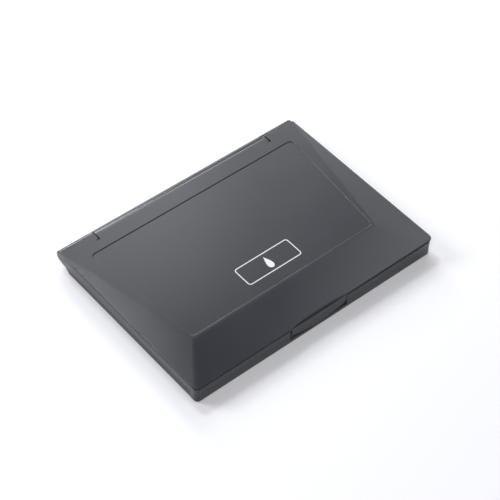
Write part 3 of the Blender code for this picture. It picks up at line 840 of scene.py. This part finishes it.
def make_camera():
    azimuth, elevation, roll_angle = (math.radians(a) for a in (VIEW_AZIMUTH, VIEW_ELEVATION, VIEW_ROLL))
    back = Vector((math.sin(azimuth) * math.cos(elevation), -math.cos(azimuth) * math.cos(elevation),
                   math.sin(elevation)))
    right = Vector((0, 0, 1)).cross(back).normalized()
    above = back.cross(right)
    turned_right = right * math.cos(roll_angle) + above * math.sin(roll_angle)
    turned_up = above * math.cos(roll_angle) - right * math.sin(roll_angle)
    data = bpy.data.cameras.new("camera")
    data.lens = VIEW_LENS
    data.sensor_width = 36.0
    camera = bpy.data.objects.new("camera", data)
    bpy.context.scene.collection.objects.link(camera)
    turn = Matrix((turned_right, turned_up, back)).transposed().to_4x4()
    camera.matrix_world = Matrix.Translation(VIEW_AIM + back * VIEW_DISTANCE) @ turn
    bpy.context.scene.camera = camera


def make_floor():
    floor = mesh_object("floor", lambda bm: bmesh.ops.create_grid(
        bm, x_segments=2, y_segments=2, size=FLOOR_SIZE, matrix=Matrix.Translation((0, 0, -FLOOR_DROP))))
    material = bpy.data.materials.new("floor_paper")
    material.use_nodes = True
    shader = material.node_tree.nodes["Principled BSDF"]
    shader.inputs["Base Color"].default_value = (0.93, 0.93, 0.93, 1)
    shader.inputs["Roughness"].default_value = 0.9
    shader.inputs["Emission Color"].default_value = (1, 1, 1, 1)
    shader.inputs["Emission Strength"].default_value = 0.12
    floor.data.materials.append(material)


def softbox(name, azimuth, elevation, power, size):
    """Softbox aimed at the object; azimuth turns from +Y toward +X, in degrees."""
    data = bpy.data.lights.new(name, "AREA")
    data.shape = "RECTANGLE"
    data.size, data.size_y = size
    data.energy = power
    data.color = LIGHT_COLOUR
    light = bpy.data.objects.new(name, data)
    bpy.context.scene.collection.objects.link(light)
    turn, rise = math.radians(azimuth), math.radians(elevation)
    away = Vector((math.sin(turn) * math.cos(rise), math.cos(turn) * math.cos(rise), math.sin(rise)))
    light.location = away * LIGHT_DISTANCE
    light.rotation_mode = "QUATERNION"
    light.rotation_quaternion = (-away).to_track_quat("-Z", "Y")


def make_light():
    world = bpy.data.worlds.new("studio")
    world.use_nodes = True
    sky = world.node_tree.nodes["Background"]
    sky.inputs["Color"].default_value = (1, 1, 1, 1)
    sky.inputs["Strength"].default_value = 0.04
    bpy.context.scene.world = world
    small, large = (0.3, 0.3), (0.55, 0.55)
    softbox("back_horizon", 28, 5, 2.2, (1.4, 0.25))
    softbox("back_low", 16, 22, 3.6, small)
    softbox("back_middle", 28, 34, 2.1, small)
    softbox("back_high", 28, 46, 0.9, small)
    softbox("back_top", 4, 58, 6.5, small)
    softbox("back_right", 40, 34, 1.2, small)
    softbox("back_right_high", 40, 46, 0.4, small)
    softbox("right_low", 52, 34, 1.1, small)
    softbox("right_middle", 64, 46, 0.9, small)
    softbox("right_high", 64, 58, 0.8, small)
    softbox("left_back", 320, 35, 9.0, large)
    softbox("front_high", 220, 60, 7.0, large)
    softbox("front_right", 140, 60, 2.1, large)
    softbox("front_low", 160, 12, 0.5, large)
    softbox("left_rim", 303, 24, 1.5, small)
    bpy.context.scene.view_settings.view_transform = "Standard"


# ---------------------------------------------------------------- materials

class Shader:
    """A node material with short calls for the nodes that the finishes share."""

    def __init__(self, name, colour, roughness):
        self.material = bpy.data.materials.new(name)
        self.material.use_nodes = True
        self.tree = self.material.node_tree
        self.surface = self.tree.nodes["Principled BSDF"]
        self.surface.inputs["Base Color"].default_value = (*colour, 1)
        self.surface.inputs["Roughness"].default_value = roughness
        self.place = self.tree.nodes.new("ShaderNodeTexCoord").outputs["Object"]

    def node(self, kind, links=(), **settings):
        made = self.tree.nodes.new(kind)
        for key, value in settings.items():
            setattr(made, key, value)
        for socket, source in links:
            self.tree.links.new(source, made.inputs[socket])
        return made

    def stretched(self, scale):
        mapping = self.node("ShaderNodeMapping", [("Vector", self.place)])
        mapping.inputs["Scale"].default_value = scale
        return mapping.outputs["Vector"]

    def grain(self, scale, detail=2.0, source=None, roughness=0.5):
        """Noise whose features are about 1/scale metres across."""
        made = self.node("ShaderNodeTexNoise", [("Vector", source or self.place)])
        made.inputs["Scale"].default_value = scale
        made.inputs["Detail"].default_value = detail
        made.inputs["Roughness"].default_value = roughness
        return made.outputs["Fac"]

    def spread(self, value, low, high, start=0.3, end=0.7):
        """Map a noise value from start..end to low..high."""
        made = self.node("ShaderNodeMapRange", [("Value", value)])
        for socket, number in (("From Min", start), ("From Max", end), ("To Min", low), ("To Max", high)):
            made.inputs[socket].default_value = number
        return made.outputs["Result"]

    def math(self, operation, first, second):
        made = self.node("ShaderNodeMath", operation=operation)
        for socket, value in zip(made.inputs, (first, second)):
            if isinstance(value, (int, float)):
                socket.default_value = value
            else:
                self.tree.links.new(value, socket)
        return made.outputs["Value"]

    def tint(self, share, first, second):
        """Colour that goes from first to second with share, linked to the base colour."""
        made = self.node("ShaderNodeMix", data_type="RGBA")
        self.tree.links.new(share, made.inputs["Factor"])
        made.inputs["A"].default_value = (*first, 1)
        made.inputs["B"].default_value = (*second, 1)
        self.tree.links.new(made.outputs["Result"], self.surface.inputs["Base Color"])

    def rough(self, value):
        self.tree.links.new(value, self.surface.inputs["Roughness"])

    def bump(self, height, depth, before=None):
        """Bump of the given depth in metres, on top of an earlier one."""
        made = self.node("ShaderNodeBump", [("Height", height)])
        made.inputs["Strength"].default_value = 1.0
        made.inputs["Distance"].default_value = depth
        if before is not None:
            self.tree.links.new(before, made.inputs["Normal"])
        self.tree.links.new(made.outputs["Normal"], self.surface.inputs["Normal"])
        return made.outputs["Normal"]


def moulded_plastic(name, colour, roughness, grain_depth):
    """Satin moulded plastic: fine spark-eroded grain, faint flow marks and hairline scuffs."""
    shader = Shader(name, colour, roughness)
    cloud = shader.grain(28, 3.0)
    darker, lighter = ([c * share for c in colour] for share in (0.95, 1.05))
    shader.tint(shader.spread(cloud, 0.0, 1.0), darker, lighter)
    patches = shader.spread(shader.grain(30, 3.0), -0.012, 0.012)
    speckle = shader.spread(shader.grain(2200, 1.0), -0.015, 0.015)
    scuffs = shader.grain(1.0, 2.0, shader.stretched((40, 2600, 400)))
    scuff = shader.spread(scuffs, 0.0, 0.02, 0.7, 0.85)
    uneven = shader.math("ADD", patches, speckle)
    shader.rough(shader.math("ADD", uneven, shader.math("ADD", scuff, roughness)))
    fine = shader.bump(shader.grain(3400, 2.0), grain_depth)
    shader.bump(shader.grain(900, 1.0), grain_depth * 1.4, fine)
    shader.surface.inputs["IOR"].default_value = 1.5
    return shader.material


def steel():
    """Drawn steel wire: fine lines along the pin."""
    shader = Shader("drawn_steel", (0.58, 0.58, 0.60), 0.28)
    shader.surface.inputs["Metallic"].default_value = 1.0
    lines = shader.grain(1.0, 3.0, shader.stretched((60, 4200, 4200)))
    shader.rough(shader.spread(lines, 0.2, 0.42))
    shader.tint(shader.spread(shader.grain(400, 3.0), 0.0, 1.0), (0.50, 0.50, 0.52), (0.64, 0.64, 0.65))
    shader.bump(lines, 0.000004)
    return shader.material


def fibre_board():
    """Pressed fibre board: flecked brown with short fibres."""
    shader = Shader("pressed_board", (0.34, 0.26, 0.17), 0.9)
    fleck = shader.grain(900, 6.0, shader.stretched((1, 0.35, 1)), 0.7)
    shader.tint(shader.spread(fleck, 0.0, 1.0, 0.35, 0.65), (0.24, 0.18, 0.11), (0.44, 0.34, 0.23))
    shader.rough(shader.spread(fleck, 0.82, 0.96))
    shader.bump(fleck, 0.00006)
    return shader.material


def inked_fibre(name, scale, depth):
    """Felt or foam soaked with black ink: matt fibres with damp spots."""
    shader = Shader(name, (0.02, 0.02, 0.026), 0.85)
    fibre = shader.grain(scale, 5.0, roughness=0.65)
    damp = shader.grain(45, 3.0)
    shader.tint(shader.spread(fibre, 0.0, 1.0), (0.010, 0.010, 0.014), (0.034, 0.034, 0.042))
    shader.rough(shader.math("ADD", shader.spread(damp, 0.5, 0.75), shader.spread(fibre, 0.0, 0.2)))
    shader.bump(fibre, depth)
    return shader.material


def thread_angles(shader, pitch):
    """Angles that turn once in two threads, for warp and weft, with a slight wobble."""
    jitter = shader.node("ShaderNodeTexNoise", [("Vector", shader.place)])
    jitter.inputs["Scale"].default_value = 300
    wobble = shader.node("ShaderNodeVectorMath", [(0, jitter.outputs["Color"])], operation="SCALE")
    wobble.inputs["Scale"].default_value = 0.00012
    moved = shader.node("ShaderNodeVectorMath", [(0, shader.place), (1, wobble.outputs["Vector"])],
                        operation="ADD")
    split = shader.node("ShaderNodeSeparateXYZ", [("Vector", moved.outputs["Vector"])])
    return [shader.math("MULTIPLY", split.outputs[axis], math.pi / pitch) for axis in ("X", "Y")]


def inked_weave():
    """Plain weave of fine threads, 0.5 mm apart, black with ink and damp in places; its colour carries
    painted shade between the threads and a painted highlight on their tops.
    """
    shader = Shader("inked_weave", (0.014, 0.014, 0.02), 0.55)
    angles = thread_angles(shader, 0.0005)
    warp, weft = (shader.math("ABSOLUTE", shader.math("SINE", angle, 0.0), 0.0) for angle in angles)
    over = shader.math("MULTIPLY", *(shader.math("COSINE", shader.math("ADD", angle, math.pi / 2), 0.0)
                                     for angle in angles))
    turn = shader.spread(over, 0.0, 1.0, -0.35, 0.35)
    weave = shader.math("ADD", shader.math("MULTIPLY", warp, turn),
                        shader.math("MULTIPLY", weft, shader.math("SUBTRACT", 1.0, turn)))
    fuzz = shader.grain(5200, 2.0)
    damp = shader.grain(30, 4.0)
    height = shader.math("ADD", weave, shader.math("MULTIPLY", fuzz, 0.35))
    # Painted shade and highlight: the colour follows the thread height, darker in the gaps between threads
    # and lighter on the thread tops, plus random fuzz
    shader.tint(shader.spread(height, 0.0, 1.0, 0.1, 1.2), (0.006, 0.006, 0.010), (0.030, 0.030, 0.040))
    shader.rough(shader.math("ADD", shader.spread(damp, 0.42, 0.58, 0.4, 0.62),
                             shader.spread(fuzz, -0.06, 0.06)))
    shader.bump(height, 0.00009)
    return shader.material


def white_print():
    """Pad-printed white ink: slightly uneven, a little glossier than the plastic."""
    shader = Shader("white_print", (0.86, 0.86, 0.86), 0.4)
    cover = shader.grain(1500, 3.0)
    shader.tint(shader.spread(cover, 0.0, 1.0), (0.80, 0.80, 0.81), (0.88, 0.88, 0.88))
    shader.rough(shader.spread(cover, 0.35, 0.5))
    shader.bump(cover, 0.000003)
    return shader.material


# ---------------------------------------------------------------- assembly

def dress(item, material):
    item.data.materials.clear()
    item.data.materials.append(material)


def stand_for(item, body, node, material):
    """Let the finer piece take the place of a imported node."""
    dress(item, material)
    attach(item, body)
    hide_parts(node)
    return item


make_camera()
make_floor()
make_light()

case_finish = moulded_plastic("case_satin", (0.0195, 0.0215, 0.027), 0.24, 0.0000016)
insert_finish = moulded_plastic("insert_satin", (0.018, 0.018, 0.019), 0.42, 0.000004)

stand_for(make_lid(), "lid", "lid_shell", case_finish)
stand_for(make_base(), "case", "base_case", case_finish)
stand_for(make_pan(), "case", "pad_pan", insert_finish)
stand_for(make_frame_ring(), "case", "pad_frame", insert_finish)

felt = stand_for(soft_block("felt_pad", "felt_core", 0.6, 0.12), "case", "felt_core",
                 inked_fibre("soaked_felt", 1800, 0.00012))
foam = stand_for(soft_block("foam_pad", "foam_layer", 0.9, 0.08), "case", "foam_layer",
                 inked_fibre("soaked_foam", 2600, 0.00008))
cloth, cloth_flat = make_cloth()
stand_for(cloth, "case", "ink_cloth", inked_weave())

mark = make_mark()
dress(mark, white_print())
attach(mark, "lid")

wire = steel()
for name in ("hinge_pin_left", "hinge_pin_right"):
    dress(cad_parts[name], wire)
dress(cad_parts["pad_board"], fibre_board())

bpy.context.view_layer.update()
